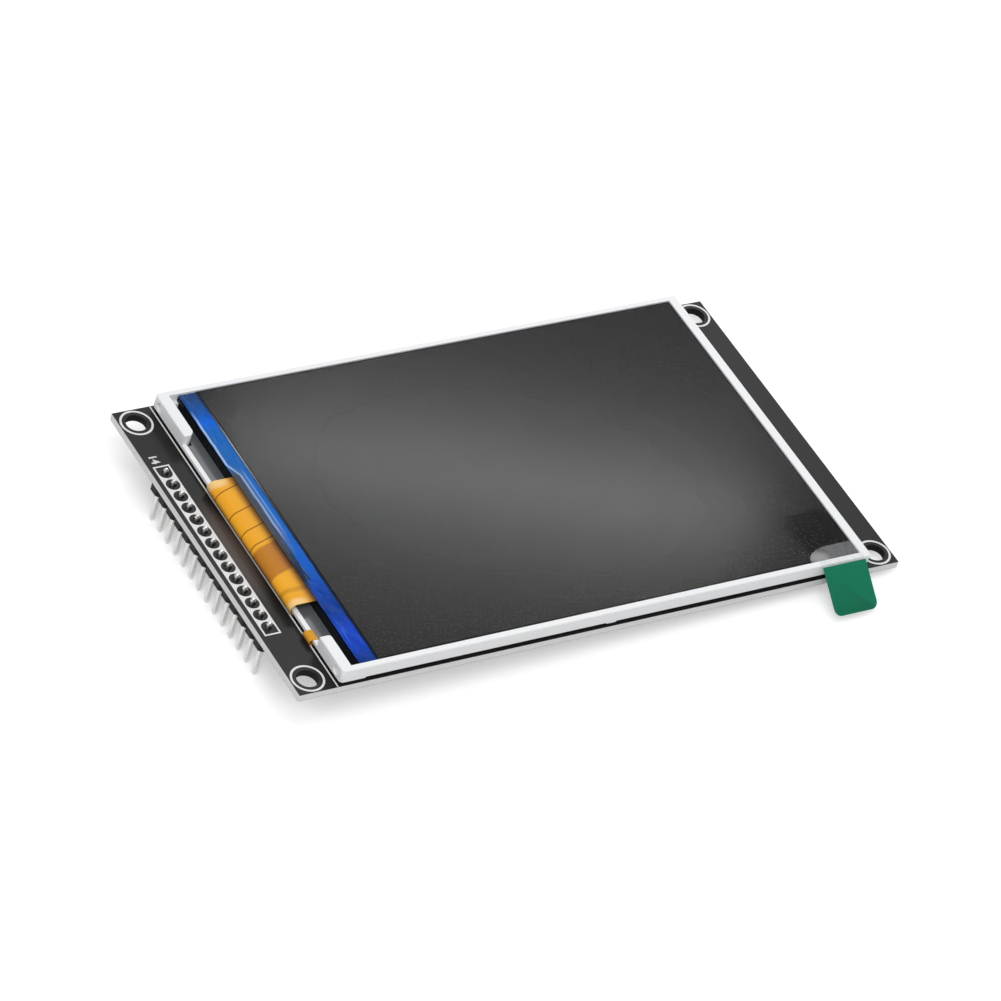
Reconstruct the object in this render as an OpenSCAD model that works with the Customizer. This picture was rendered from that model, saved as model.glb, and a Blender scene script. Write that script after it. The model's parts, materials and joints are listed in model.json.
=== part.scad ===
// Colour display module: a circuit board that carries a backlit liquid-crystal
// panel on its front, and a pin header, a flat-cable socket and a memory-card
// socket on its back. All sizes are in millimetres.
// +X runs along the board away from the pin header, +Z points out of the screen.
// The origin is the centre of the four mounting holes, on the board's back face.

/* [Board] */
// Length of the circuit board, along X
board_l = 106.5; // [104:0.5:130]
// Distance from the display frame's long sides to the board's edges
board_margin = 0.2; // [0:0.1:4]
// Thickness of the circuit board
board_t = 1.2; // [0.8:0.1:2]
// Distance from each mounting hole's centre to its two nearest edges
hole_inset = 2.8; // [2.4:0.1:3.2]
// Diameter of the mounting holes
hole_d = 3.4; // [2.2:0.1:3.6]

/* [Pin header] */
// Number of header pins
pin_count = 14; // [4:1:16]
// Distance between header pins
pin_pitch = 2.54; // [2.54:0.01:2.6]
// Distance from the header's centre line to the board's end
header_inset = 2.1; // [1.9:0.1:3]
// Side of the square header pins
pin_w = 0.64; // [0.5:0.02:0.7]
// Diameter of the plated holes that the pins pass through
pin_hole_d = 1.04; // [1:0.02:1.2]
// Height of the header's moulded body
header_h = 2.54; // [2:0.1:4]
// Width of the header's moulded body
header_w = 2.5; // [2.2:0.1:2.7]
// Chamfer between the header's segments
header_chamfer = 0.5; // [0.3:0.05:0.7]
// Length of the pins below the header's body
pin_drop = 6; // [3:0.5:12]
// Length of the pins above the board's front face
pin_rise = 0.9; // [0.8:0.1:2]
// Length of the pins' tapered tips
pin_taper = 0.7; // [0.4:0.1:1]
// Height of the solder cones round the pins
solder_h = 0.65; // [0.5:0.05:0.75]
// Radius of the solder cones at the board
solder_r = 0.85; // [0.75:0.05:1]

/* [Display frame] */
// Distance from the board's end to the frame
frame_start = 6.7; // [6:0.1:10]
// Length of the moulded frame
frame_l = 93.85; // [80:0.05:96]
// Width of the moulded frame
frame_w = 59.9; // [55:0.1:62]
// Height of the moulded frame
frame_h = 2.3; // [2.2:0.1:3]
// Radius of the frame's outer corners
frame_r = 0.6; // [0.3:0.1:0.8]
// Chamfer along the frame's top edges
frame_chamfer = 0.12; // [0.1:0.02:0.3]
// Width of the rim along the frame's long sides
rim_side = 0.95; // [0.9:0.05:1.5]
// Width of the rim at the frame's closed end
rim_end = 1.6; // [1.2:0.1:2.5]
// Width of the step inside the frame that carries the panel
step_w = 0.75; // [0.5:0.05:1]
// Thickness of the two lugs at the frame's open end
lug_t = 1.8; // [1.4:0.1:2.2]
// Reach of the far lug, from the frame's long side
lug_far = 9.6; // [6:0.1:12]
// Reach of the near lug, from the frame's long side
lug_near = 7.3; // [5:0.1:8]
// Rounding of the far lug's inner corner
lug_far_r = 1.1; // [0.5:0.1:1.3]
// Rounding of the near lug's inner corner
lug_near_r = 0.5; // [0.3:0.1:1]
// Width of the low rail between the lugs
rail_w = 0.75; // [0.6:0.05:1]
// Height of the low rail between the lugs
rail_h = 0.5; // [0.3:0.05:0.6]
// Depth of the relief under the frame's long sides
relief_h = 0.22; // [0.1:0.02:0.35]
// Length of the feet at the frame's corners
foot_l = 4.3; // [3:0.1:8]
// Length of the small foot half-way along each long side
nub_l = 1.6; // [1:0.1:3]
// Width of the moulding pockets in the frame's open end
pocket_w = 1.5; // [1.2:0.1:2]
// Distance from the moulding pockets' centres to the long sides
pocket_inset = 1.8; // [1.8:0.1:3]
// Depth of the moulding pockets
pocket_d = 0.6; // [0.2:0.05:0.6]

/* [Foam tape] */
// Thickness of the foam tape that holds the display on the board
tape_t = 0.5; // [0.4:0.1:1]
// Distance from the tape's edge to the frame's edge
tape_inset = 0.9; // [0.5:0.1:2]
// Length of the tape's window for the soldered flexes, from the frame's open end
tape_window = 11; // [10:0.5:20]
// Space between the soldered flexes and the tape
tape_space = 1.2; // [0.5:0.1:2]

/* [Backlight] */
// Thickness of the reflector under the light guide
reflector_t = 0.1; // [0.06:0.02:0.2]
// Thickness of the light guide
guide_t = 0.58; // [0.5:0.02:0.7]
// Thickness of each film over the light guide
film_t = 0.08; // [0.06:0.01:0.1]
// Thickness of the black shade tape
shade_t = 0.06; // [0.04:0.01:0.1]
// Width of the shade tape round the picture
shade_border = 1.9; // [1.4:0.1:2.5]
// Number of light-emitting diodes
led_count = 8; // [4:1:10]
// Length of each diode
led_l = 3; // [2:0.1:4]
// Width of each diode, along X
led_w = 0.6; // [0.4:0.05:0.8]
// Height of each diode
led_h = 0.45; // [0.3:0.05:0.5]
// Distance from the ledge's edge to the diodes
led_inset = 0.3; // [0.2:0.05:0.5]
// Width of the diodes' flex strip, along X
strip_w = 2.4; // [2:0.1:2.8]
// Thickness of the diodes' flex strip
strip_t = 0.1; // [0.06:0.02:0.12]
// Width of the flex strip's tail
tail_w = 2; // [1.2:0.1:3]
// Place of the tail's centre line, along Y
tail_y = -20.5; // [-21:0.1:-18.5]
// Reach of the tail's fold past the frame
tail_bulge = 0.64; // [0.5:0.02:0.8]
// Length of the tail under the display
tail_under = 5; // [3:0.5:8]
// Outer radius of the tail's bends inside the frame
tail_r = 0.25; // [0.15:0.05:0.3]

/* [Panel] */
// Distance from the frame's open end to the glass ledge
ledge_start = 3.45; // [3:0.05:4]
// Width of the bare glass ledge
ledge_w = 2.95; // [2.7:0.05:3.5]
// Thickness of the transistor glass
glass_t = 0.5; // [0.4:0.05:0.7]
// Thickness of the colour filter glass
filter_t = 0.45; // [0.4:0.05:0.7]
// Thickness of the two polarizers
polarizer_t = 0.12; // [0.08:0.02:0.2]
// Distance from the polarizers' edges to the colour filter glass's edges
polarizer_inset = 0.3; // [0.1:0.1:0.6]
// Thickness of the clear film over the screen
cover_t = 0.05; // [0.04:0.01:0.1]
// Thickness of the blue film over the ledge
ledge_film_t = 0.05; // [0.04:0.01:0.1]
// Length of the driver chip
driver_l = 20; // [12:1:26]
// Width of the driver chip
driver_w = 1; // [0.8:0.05:1.2]
// Height of the driver chip
driver_h = 0.28; // [0.2:0.02:0.34]

/* [Display flex] */
// Thickness of the display flex
flex_t = 0.12; // [0.08:0.02:0.2]
// Width of the display flex
flex_w = 26.5; // [16:0.5:30]
// Place of the flex's centre line, along Y
flex_y = -2.05; // [-3:0.05:0]
// Reach of the flex's fold past the frame
flex_bulge = 0.6; // [0.5:0.05:1.2]
// Length of the flex bonded to the ledge
flex_bond = 1.2; // [1:0.05:1.3]
// Length of the flex under the display
flex_under = 7; // [4:0.5:8]

/* [Pull tab] */
// Width of the tab's tongue
tab_w = 7.9; // [5:0.1:12]
// Thickness of the tab
tab_t = 0.1; // [0.06:0.02:0.2]
// Distance from the tongue to the frame's closed end
tab_end = 1.45; // [1:0.05:10]
// Reach of the tab's clear root over the screen, from the frame's edge
tab_root = 3.6; // [2.5:0.1:6]
// Extra width of the tab's clear root
tab_root_extra = 1.2; // [0.5:0.1:2]
// Length of the root's long rounded corner, toward the screen's middle
tab_root_r = 4.8; // [2:0.1:5]
// Length of the straight part of the tongue
tab_l = 7.6; // [4:0.1:12]
// Droop of the tongue, in degrees
tab_droop = 35; // [10:1:60]
// Radius of the bend at the frame's edge
tab_bend = 0.8; // [0.4:0.1:2]
// Rounding of the tongue's corners
tab_r = 1.2; // [0.5:0.1:2]

/* [Flat-cable socket] */
// Number of contacts
way_count = 18; // [6:1:30]
// Distance between contacts
way_pitch = 0.5; // [0.5:0.02:0.6]
// Distance from the housing's front to the board's end
socket_edge = 1.7; // [1:0.1:4]
// Depth of the housing, along X
socket_d = 4.3; // [4.2:0.1:5]
// Height of the housing
socket_h = 2; // [1.9:0.1:2.4]
// Thickness of the housing's floor
socket_floor = 0.55; // [0.5:0.05:0.6]
// Height of the housing's mouth
mouth_h = 1; // [0.9:0.05:1.1]
// Depth of the housing's mouth
mouth_d = 3.1; // [3:0.05:3.2]
// Solid end of the housing beside the mouth
socket_ear = 1.5; // [1.2:0.1:3]
// Width of each stamped contact
contact_w = 0.2; // [0.14:0.02:0.24]
// Thickness of the contacts' feet
contact_t = 0.15; // [0.1:0.01:0.2]
// Length of the feet behind the housing
contact_foot = 0.7; // [0.4:0.05:1]
// Height of the hold-down tabs on the housing's ends
tab_rise = 1.1; // [0.8:0.1:1.6]
// Travel of the latch from shut to open
latch_travel = 1; // [0.6:0.1:1.2]
// Thickness of the latch's bar, along X
latch_bar = 1.1; // [0.8:0.1:2]
// Distance from the latch's underside to the housing's
latch_rise = 0.3; // [0.2:0.05:0.4]
// Thickness of the latch's tongue
latch_tongue = 0.5; // [0.4:0.05:0.6]
// Width of the latch's side arms
latch_arm = 0.4; // [0.3:0.05:0.6]
// Length of the latch's side arms
latch_reach = 2.6; // [2.4:0.1:3]

/* [Card socket] */
// Place of the card socket's centre line, along X
card_x = -14; // [-30:1:30]
// Width of the socket's metal shell
card_w = 14; // [13.6:0.1:16]
// Depth of the socket's metal shell
card_d = 14.5; // [13:0.1:16]
// Height of the socket's metal shell
card_h = 1.85; // [1.7:0.05:2.4]
// Thickness of the shell's sheet metal
sheet_t = 0.2; // [0.15:0.01:0.25]
// Distance from the socket's mouth to the board's edge
card_edge = 0.6; // [0.2:0.1:4]
// Thickness of the plastic base's floor
card_floor = 0.5; // [0.4:0.05:0.6]
// Width of the card that fits the socket
card_slot = 11.1; // [11:0.1:11.4]
// Number of card contacts
spring_count = 8; // [6:1:8]
// Distance between card contacts
spring_pitch = 1.1; // [1.1:0.02:1.2]
// Width of each card contact
spring_w = 0.6; // [0.4:0.05:0.7]
// Length of each card contact inside the socket
spring_l = 8.5; // [7.5:0.1:9]
// Length of the card contacts' feet outside the base
spring_foot = 0.65; // [0.4:0.05:0.9]
// Height of the card contacts' crests over the base's floor
spring_rise = 0.3; // [0.2:0.05:0.4]
// Length of the windows in the shell's top
window_l = 4.4; // [3:0.1:5]
// Width of the windows in the shell's top
window_w = 1.8; // [1.4:0.1:2.4]
// Width of the sprung fingers in the windows
finger_w = 1.1; // [0.8:0.05:1.2]
// Depth that the fingers press into the slot
finger_drop = 0.35; // [0.2:0.05:0.5]
// Length of the shell's soldered feet
shell_foot = 0.9; // [0.6:0.1:1.4]

/* [Small parts] */
// Distance from the small parts' column to the board's header end
parts_inset = 13; // [9:0.5:20]
// Distance between small parts, along Y
parts_pitch = 2.4; // [2:0.1:3]
// Length of the chip capacitors and resistors
chip_l = 1.6; // [1.2:0.1:2]
// Width of the chip capacitors and resistors
chip_w = 0.8; // [0.6:0.1:1.2]
// Distance from the board's centre line to the first capacitor
capacitor_start = -9; // [-12:0.5:-8]
// Distance from the board's centre line to the first resistor
resistor_start = 3; // [2:0.5:6]
// Distance from the chips' column to the regulator and transistor
sot_gap = 6; // [4:0.5:9]
// Distance from the board's centre line to the regulator
regulator_y = -7; // [-10:0.5:-4]
// Distance from the board's centre line to the transistor
transistor_y = 5; // [3:0.5:9]
// Height of the chip capacitors
capacitor_h = 0.8; // [0.5:0.1:1.2]
// Height of the chip resistors
resistor_h = 0.45; // [0.3:0.05:0.6]
// Length of the chips' metal ends
chip_end = 0.3; // [0.2:0.05:0.4]
// Length of the regulator and transistor bodies
sot_l = 2.9; // [2.7:0.1:3.1]
// Width of the regulator and transistor bodies
sot_w = 1.5; // [1.2:0.1:1.7]
// Height of the regulator and transistor bodies
sot_h = 1; // [0.8:0.1:1.3]

/* [Hidden] */
$fn = 48;
// Overlap that keeps a cut clear of a face
eps = 0.01;
// Clearance between pieces that slide or drop into each other
gap = 0.05;

// Board
board_w = frame_w + 2 * board_margin;
half_l = board_l / 2;
half_w = board_w / 2;
hole_x = half_l - hole_inset;
hole_y = half_w - hole_inset;
header_x = header_inset - half_l;
pin_ys = [for (i = [0 : pin_count - 1]) (i - (pin_count - 1) / 2) * pin_pitch];

// Heights of the stack, from the board up
frame_z = board_t + tape_t;
frame_top = frame_z + frame_h;
guide_z = frame_z + reflector_t;
film_z = guide_z + guide_t;
step_z = film_z + 3 * film_t;
rear_z = step_z + shade_t;
glass_z = rear_z + polarizer_t;
ledge_z = glass_z + glass_t;
filter_top = ledge_z + filter_t;
front_top = filter_top + polarizer_t;
cover_top = front_top + cover_t;

// Plan of the frame and of what drops into it
frame_x = frame_start - half_l;
frame_end = frame_x + frame_l;
frame_half = frame_w / 2;
well_end = frame_end - rim_end;
well_half = frame_half - rim_side;
low_end = well_end - step_w;
low_half = well_half - step_w;
lug_x = frame_x + lug_t;
notch_far = frame_half - lug_far;
notch_near = lug_near - frame_half;
ledge_x = frame_x + ledge_start;
filter_x = ledge_x + ledge_w;
glass_end = well_end - gap;
glass_half = well_half - gap;
led_x = ledge_x + led_inset;
guide_x = led_x + led_w + gap;
strip_end = ledge_x + strip_w;

// Backlight tail: over the rail, down inside it, under the reflector and up
rail_top = frame_z + rail_h;
tail_half = tail_w / 2;
tail_in = frame_x + rail_w + gap + strip_t;
tail_z = frame_z - gap - strip_t;
tail_rise = ledge_x + gap;

// Flat-cable socket: x runs from the housing's front face, z away from the board
row_l = (way_count - 1) * way_pitch;
mouth_half = row_l / 2 + 2 * way_pitch;
socket_half = mouth_half + socket_ear;
way_ys = [for (i = [0 : way_count - 1]) i * way_pitch - row_l / 2];
way_slot = contact_w + gap;
socket_lip = 0.7;
notch_d = 0.3;
barb_l = 0.4;
barb_x = -latch_reach;
mouth_top = socket_floor + mouth_h;
latch_low = 0.5;
latch_high = socket_h - 0.5;

// Card socket: y runs from the shell's mouth, z away from the board
channel_half = (card_slot + 2 * gap) / 2;
base_half = card_w / 2 - sheet_t - gap;
base_top = card_h - sheet_t - gap;
base_back = -card_d + sheet_t + gap;
base_wall = 1.2;
base_front = -1;
spring_xs = [for (i = [0 : spring_count - 1]) (i - (spring_count - 1) / 2) * spring_pitch];
spring_rear = base_back - spring_foot - sheet_t - gap;
spring_tip = base_back + spring_l;

// Small parts
parts_x = parts_inset - half_l;
capacitor_ys = [for (i = [0 : 3]) capacitor_start + i * parts_pitch];
resistor_ys = [for (i = [0 : 5]) resistor_start + i * parts_pitch];
sot_x = parts_x + sot_gap;
lead_w = 0.4;
lead_t = 0.15;
lead_reach = 0.55;

// Box between two corners
module block(x0, y0, z0, x1, y1, z1) {
  translate([x0, y0, z0]) cube([x1 - x0, y1 - y0, z1 - z0]);
}

// Flat rectangle between two corners
module patch(x0, y0, x1, y1) {
  translate([x0, y0]) square([x1 - x0, y1 - y0]);
}

// Flat rectangle with four round corners
module round_patch(x0, y0, x1, y1, r) {
  patch(x0 + r, y0, x1 - r, y1);
  patch(x0, y0 + r, x1, y1 - r);
  for (x = [x0 + r, x1 - r], y = [y0 + r, y1 - r]) {
    translate([x, y]) circle(r);
  }
}

// Quarter of a ring of outer radius r and thickness t, in the first quadrant
module quarter_turn(r, t) {
  difference() {
    intersection() {
      circle(r);
      square(r);
    }
    circle(r - t);
  }
}

// A profile drawn in X and Z, made w wide and centred on Y = y
module across(y, w) {
  translate([0, y + w / 2, 0]) rotate([90, 0, 0]) linear_extrude(w) children();
}

// A profile drawn in Y and Z, made w wide and centred on X = x
module beside(x, w) {
  translate([x - w / 2, 0, 0]) rotate([90, 0, 90]) linear_extrude(w) children();
}

// Strip that leaves at height z1, folds back through half a turn at the frame's
// open end and lies on the board
module folded_strip(y, w, t, z1, bulge, x1, under) {
  outer = (z1 + t - board_t) / 2;
  fold_x = frame_x - bulge + outer;
  color("orange") {
    block(fold_x, y - w / 2, z1, x1, y + w / 2, z1 + t);
    block(fold_x, y - w / 2, board_t, fold_x + under, y + w / 2, board_t + t);
    across(y, w) translate([fold_x, board_t + outer]) difference() {
      circle(outer);
      circle(outer - t);
      patch(0, -2 * outer, 2 * outer, 2 * outer);
    }
  }
}

module pcb() {
  color("#202324") difference() {
    block(-half_l, -half_w, 0, half_l, half_w, board_t);
    for (x = [-hole_x, hole_x], y = [-hole_y, hole_y]) {
      translate([x, y, -1]) cylinder(h = board_t + 2, d = hole_d);
    }
    for (y = pin_ys) {
      translate([header_x, y, -1]) cylinder(h = board_t + 2, d = pin_hole_d, $fn = 24);
    }
  }
}

// One segment of the header's body, seen from above
module header_segment() {
  w = header_w / 2;
  p = pin_pitch / 2 + eps / 2;
  c = header_chamfer;
  polygon([
    [-w, c - p], [c - w, -p], [w - c, -p], [w, c - p],
    [w, p - c], [w - c, p], [c - w, p], [-w, p - c]
  ]);
}

module header_body() {
  color("#151515") translate([header_x, 0, -header_h]) linear_extrude(header_h) difference() {
    for (y = pin_ys) translate([0, y]) header_segment();
    for (y = pin_ys) translate([0, y]) square(pin_w + gap, center = true);
  }
}

// Side view of a pin, with its two tapered tips
module pin_profile() {
  bottom = -header_h - pin_drop;
  top = board_t + pin_rise;
  w = pin_w / 2;
  tip = w / 2;
  polygon([
    [-tip, bottom], [tip, bottom], [w, bottom + pin_taper], [w, top - pin_taper],
    [tip, top], [-tip, top], [-w, top - pin_taper], [-w, bottom + pin_taper]
  ]);
}

module header_pins() {
  color("goldenrod") for (y = pin_ys) translate([header_x, y, 0]) intersection() {
    across(0, pin_w) pin_profile();
    rotate([0, 0, 90]) across(0, pin_w) pin_profile();
  }
}

module solder_joints() {
  barrel = pin_hole_d / 2 - gap / 2;
  neck = pin_w * 0.75;
  color("silver") for (y = pin_ys) translate([header_x, y, 0]) difference() {
    rotate_extrude($fn = 24) polygon([
      [0, 0], [barrel, 0], [barrel, board_t], [solder_r, board_t],
      [solder_r * 0.72, board_t + solder_h * 0.3], [neck, board_t + solder_h], [0, board_t + solder_h]
    ]);
    block(-(pin_w + gap) / 2, -(pin_w + gap) / 2, -1,
          (pin_w + gap) / 2, (pin_w + gap) / 2, board_t + solder_h + 1);
  }
}

module foam_tape() {
  window_far = flex_y + flex_w / 2 + tape_space;
  window_near = tail_y - tail_half - tape_space;
  edge = frame_half - tape_inset;
  color("#1c1c1c") difference() {
    block(frame_x + tape_inset, -edge, board_t, frame_end - tape_inset, edge, frame_z);
    block(frame_x, window_near, board_t - 1, frame_x + tape_window, window_far, frame_z + 1);
  }
}

// Plan of one lug, from the frame's side wall towards its free end; end is the
// rounding of the corner that faces the glass
module lug(reach, end) {
  difference() {
    patch(frame_x, well_half - eps - reach + rim_side, lug_x, frame_half - frame_r);
    translate([lug_x - end, frame_half - reach]) difference() {
      patch(0, -eps, end + eps, end);
      translate([0, end]) circle(end);
    }
  }
}

module lugs() {
  lug(lug_far, lug_far_r);
  mirror([0, 1]) lug(lug_near, lug_near_r);
}

// Frame's outline less a well of the given half width and end
module frame_plan(half, end) {
  difference() {
    round_patch(frame_x, -frame_half, frame_end, frame_half, frame_r);
    patch(frame_x - 1, -half, end, half);
  }
  lugs();
}

module backlight_frame() {
  slot_top = frame_z + frame_h * 0.75;
  color("#f2f2ee") difference() {
    union() {
      translate([0, 0, frame_z]) linear_extrude(step_z - frame_z) frame_plan(low_half, low_end);
      translate([0, 0, frame_z]) linear_extrude(frame_h) frame_plan(well_half, well_end);
      block(frame_x, notch_near - eps, frame_z, frame_x + rail_w, notch_far + eps, frame_z + rail_h);
    }
    frame_reliefs();
    frame_chamfers();
    for (y = [-frame_half + pocket_inset, frame_half - pocket_inset]) {
      translate([frame_x - 1, y, slot_top - pocket_w / 2]) rotate([0, 90, 0]) {
        cylinder(h = 1 + pocket_d, d = pocket_w);
      }
    }
  }
}

// Shallow reliefs under the long sides, between the feet
module frame_reliefs() {
  middle = (frame_x + frame_end) / 2;
  depth = rim_side * 0.6;
  for (side = [-1, 1], span = [
    [frame_x + foot_l, middle - nub_l / 2],
    [middle + nub_l / 2, frame_end - foot_l]
  ]) {
    block(span[0], side * frame_half - depth, frame_z - 1,
          span[1], side * frame_half + depth, frame_z + relief_h);
  }
}

// Chamfers along the outer top edges
module frame_chamfers() {
  size = frame_chamfer * sqrt(2);
  for (y = [-frame_half, frame_half]) {
    translate([frame_x - 1, y, frame_top]) rotate([45, 0, 0]) {
      translate([0, -size / 2, -size / 2]) cube([frame_l + 2, size, size]);
    }
  }
  for (x = [frame_x, frame_end]) {
    translate([x, -frame_half - 1, frame_top]) rotate([0, 45, 0]) {
      translate([-size / 2, 0, -size / 2]) cube([size, frame_w + 2, size]);
    }
  }
}

module reflector_sheet() {
  color("#8d8f90") difference() {
    union() {
      block(lug_x + gap, gap - low_half, frame_z, low_end - gap, low_half - gap, guide_z);
      block(frame_x + rail_w + gap, notch_near + gap, frame_z, lug_x + 2 * gap, notch_far - gap, guide_z);
    }
    tail_slot(frame_x + rail_w, tail_in + gap);
    tail_slot(tail_rise - 2 * gap, tail_rise + strip_t + gap);
  }
}

// Opening in the reflector that the backlight's tail passes through
module tail_slot(x0, x1) {
  block(x0, tail_y - tail_half - gap, frame_z - 1, x1, tail_y + tail_half + gap, guide_z + 1);
}

module light_guide() {
  color("#e8f0f2") block(guide_x, gap - low_half, guide_z, low_end - gap, low_half - gap, film_z);
}

module led_strip() {
  color("orange") {
    block(ledge_x + gap, gap - low_half, film_z, strip_end, low_half - gap, film_z + strip_t);
  }
  folded_strip(tail_y, tail_w, strip_t, rail_top, tail_bulge, tail_in - tail_r, tail_under);
  color("orange") across(tail_y, tail_w) {
    translate([tail_in - tail_r, rail_top + strip_t - tail_r]) quarter_turn(tail_r, strip_t);
    patch(tail_in - strip_t, tail_z + tail_r, tail_in, rail_top + strip_t - tail_r);
    translate([tail_in - strip_t + tail_r, tail_z + tail_r]) rotate(180) quarter_turn(tail_r, strip_t);
    patch(tail_in - strip_t + tail_r, tail_z, tail_rise + strip_t - tail_r, tail_z + strip_t);
    translate([tail_rise + strip_t - tail_r, tail_z + tail_r]) rotate(-90) quarter_turn(tail_r, strip_t);
    patch(tail_rise, tail_z + tail_r, tail_rise + strip_t, film_z + eps);
  }
}

module leds() {
  spread = 2 * (low_half - gap) / led_count;
  color("#fff6d0") for (i = [0 : led_count - 1]) {
    translate([led_x, (i + 0.5) * spread - (low_half - gap) - led_l / 2, film_z - led_h]) {
      cube([led_w, led_l, led_h]);
    }
  }
}

// One of the three films over the light guide, counted from below
module optical_film(level) {
  z = film_z + level * film_t;
  block(strip_end + gap, gap - low_half, z, low_end - gap, low_half - gap, z + film_t);
}

module diffuser_film() {
  color("#f4f4f4") optical_film(0);
}

module lower_prism_film() {
  color("#dfe6e8") optical_film(1);
}

module upper_prism_film() {
  color("#d4dcde") optical_film(2);
}

module shade_tape() {
  flap = low_half - gap;
  color("#0c0c0c") difference() {
    union() {
      block(ledge_x, -glass_half, step_z, glass_end, glass_half, rear_z);
      block(ledge_x - shade_t, -flap, guide_z, ledge_x, flap, rear_z);
    }
    block(filter_x + shade_border, shade_border - well_half, step_z - 1,
          well_end - shade_border, well_half - shade_border, rear_z + 1);
  }
}

// Polarizer between two heights, set in from the colour filter glass's edges
module polarizer(z0, z1) {
  inset = polarizer_inset;
  color("#2b2b2b") {
    block(filter_x + inset, inset - glass_half, z0, glass_end - inset, glass_half - inset, z1);
  }
}

module rear_polarizer() {
  polarizer(rear_z, glass_z);
}

module tft_glass() {
  color("#39413f") block(ledge_x, -glass_half, glass_z, glass_end, glass_half, ledge_z);
}

module filter_glass() {
  color("#1e2222") block(filter_x, -glass_half, ledge_z, glass_end, glass_half, filter_top);
}

module front_polarizer() {
  polarizer(filter_top, front_top);
}

module cover_film() {
  inset = polarizer_inset;
  color("#555552") {
    block(filter_x + inset, inset - glass_half, front_top, glass_end - inset, glass_half - inset, cover_top);
  }
}

// A profile drawn in Y and Z, made from X = x0 to X = x1
module along(x0, x1) {
  translate([x0, 0, 0]) rotate([90, 0, 90]) linear_extrude(x1 - x0) children();
}

// Flat rectangle whose corners at y0 are round: radius r at x1, and at x0 an
// ellipse with radii rx and ry
module tongue_patch(x0, y0, x1, y1, r, rx, ry) {
  patch(x0 + rx, y0, x1 - r, y1);
  patch(x1 - r - eps, y0 + r, x1, y1);
  patch(x0, y0 + ry, x0 + rx + eps, y1);
  translate([x1 - r, y0 + r]) circle(r);
  intersection() {
    patch(x0, y0, x0 + rx + eps, y1);
    translate([x0 + rx, y0 + ry]) scale([rx / ry, 1]) circle(ry);
  }
}

// Tab: a clear root on the screen, a bend at the frame's edge and a tongue that
// droops over it
module pull_tab() {
  z = max(frame_top, cover_top);
  x1 = frame_end - tab_end;
  x0 = x1 - tab_w;
  outer = tab_bend + tab_t;
  root_l = tab_root - rim_side;
  color("#1f7a5c") {
    translate([0, -frame_half, z]) linear_extrude(tab_t) {
      patch(x0, 0, x1, rim_side + root_l / 2);
      translate([0, rim_side]) mirror([0, 1]) {
        tongue_patch(x0 - tab_root_extra, -root_l, x1, 0, root_l * 0.3, tab_root_r, root_l * 0.9);
      }
    }
    translate([0, -frame_half, z - tab_bend]) {
      along(x0, x1) difference() {
        circle(outer);
        circle(tab_bend);
        rotate(90) patch(-2 * outer, -2 * outer, 2 * outer, 0);
        rotate(90 + tab_droop) patch(-2 * outer, 0, 2 * outer, 2 * outer);
      }
      rotate([tab_droop, 0, 0]) translate([0, 0, tab_bend]) linear_extrude(tab_t) {
        tongue_patch(x0, -tab_l, x1, 0, tab_r, tab_r, tab_r);
      }
    }
  }
}

module driver_chip() {
  x = ledge_x + flex_bond + gap;
  color("#2f3133") {
    block(x, flex_y - driver_l / 2, ledge_z, x + driver_w, flex_y + driver_l / 2, ledge_z + driver_h);
  }
}

module ledge_film() {
  z = ledge_z + max(driver_h, flex_t);
  color("#1464d8") {
    block(ledge_x, gap - glass_half, z, filter_x - gap, glass_half - gap, z + ledge_film_t);
  }
}

module display_flex() {
  folded_strip(flex_y, flex_w, flex_t, ledge_z, flex_bulge, ledge_x + flex_bond, flex_under);
}

// Places a child in the flat-cable socket's own frame, on the board's back
module at_socket() {
  translate([half_l - socket_edge, 0, 0]) mirror([0, 0, 1]) children();
}

module socket_housing() {
  rear = -socket_d;
  color("#e9e4d6") at_socket() difference() {
    block(rear, -socket_half, 0, 0, socket_half, socket_h);
    block(-mouth_d, -mouth_half, socket_floor, 1, mouth_half, mouth_top);
    for (y = way_ys) {
      block(rear - 1, y - way_slot / 2, -1, -socket_lip, y + way_slot / 2, socket_floor + eps);
      block(rear - 1, y - way_slot / 2, -1, eps - mouth_d, y + way_slot / 2, mouth_top - gap);
    }
    for (side = [-1, 1]) {
      block(barb_x - gap, side * socket_half - notch_d, latch_low - gap,
            barb_x + barb_l + latch_travel + gap, side * socket_half + notch_d, latch_high + gap);
    }
  }
}

// Side view of a stamped contact: foot, stem, sprung lower arm with its contact
// point, and short upper arm
module contact_profile() {
  rear = -socket_d;
  stem0 = rear + 0.25;
  stem1 = rear + 0.6;
  tip = -socket_lip - 2 * gap;
  low = socket_floor - 0.25;
  high = mouth_top - 2 * gap;
  polygon([
    [rear - contact_foot, 0], [stem1, 0], [stem1, low], [tip, low], [tip, low + contact_t],
    [tip - 0.15, socket_floor + 0.12], [tip - 0.35, socket_floor + 0.12], [tip - 0.6, socket_floor - gap],
    [stem1, socket_floor - gap], [stem1, high - contact_t], [-mouth_d, high - contact_t],
    [-mouth_d, high], [stem0, high], [stem0, contact_t], [rear - contact_foot, contact_t]
  ]);
}

// Foot and upright of a hold-down tab on the housing's +Y end
module hold_down() {
  l = -latch_reach - gap * 4 + socket_d;
  translate([-socket_d, 0, 0]) {
    block(0, socket_half, 0, l, socket_half + contact_t, tab_rise);
    block(0, socket_half, 0, l, socket_half + contact_foot, contact_t);
  }
}

module socket_contacts() {
  color("gold") at_socket() {
    for (y = way_ys) across(y, contact_w) contact_profile();
    for (side = [0, 1]) mirror([0, side, 0]) hold_down();
  }
}

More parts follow.
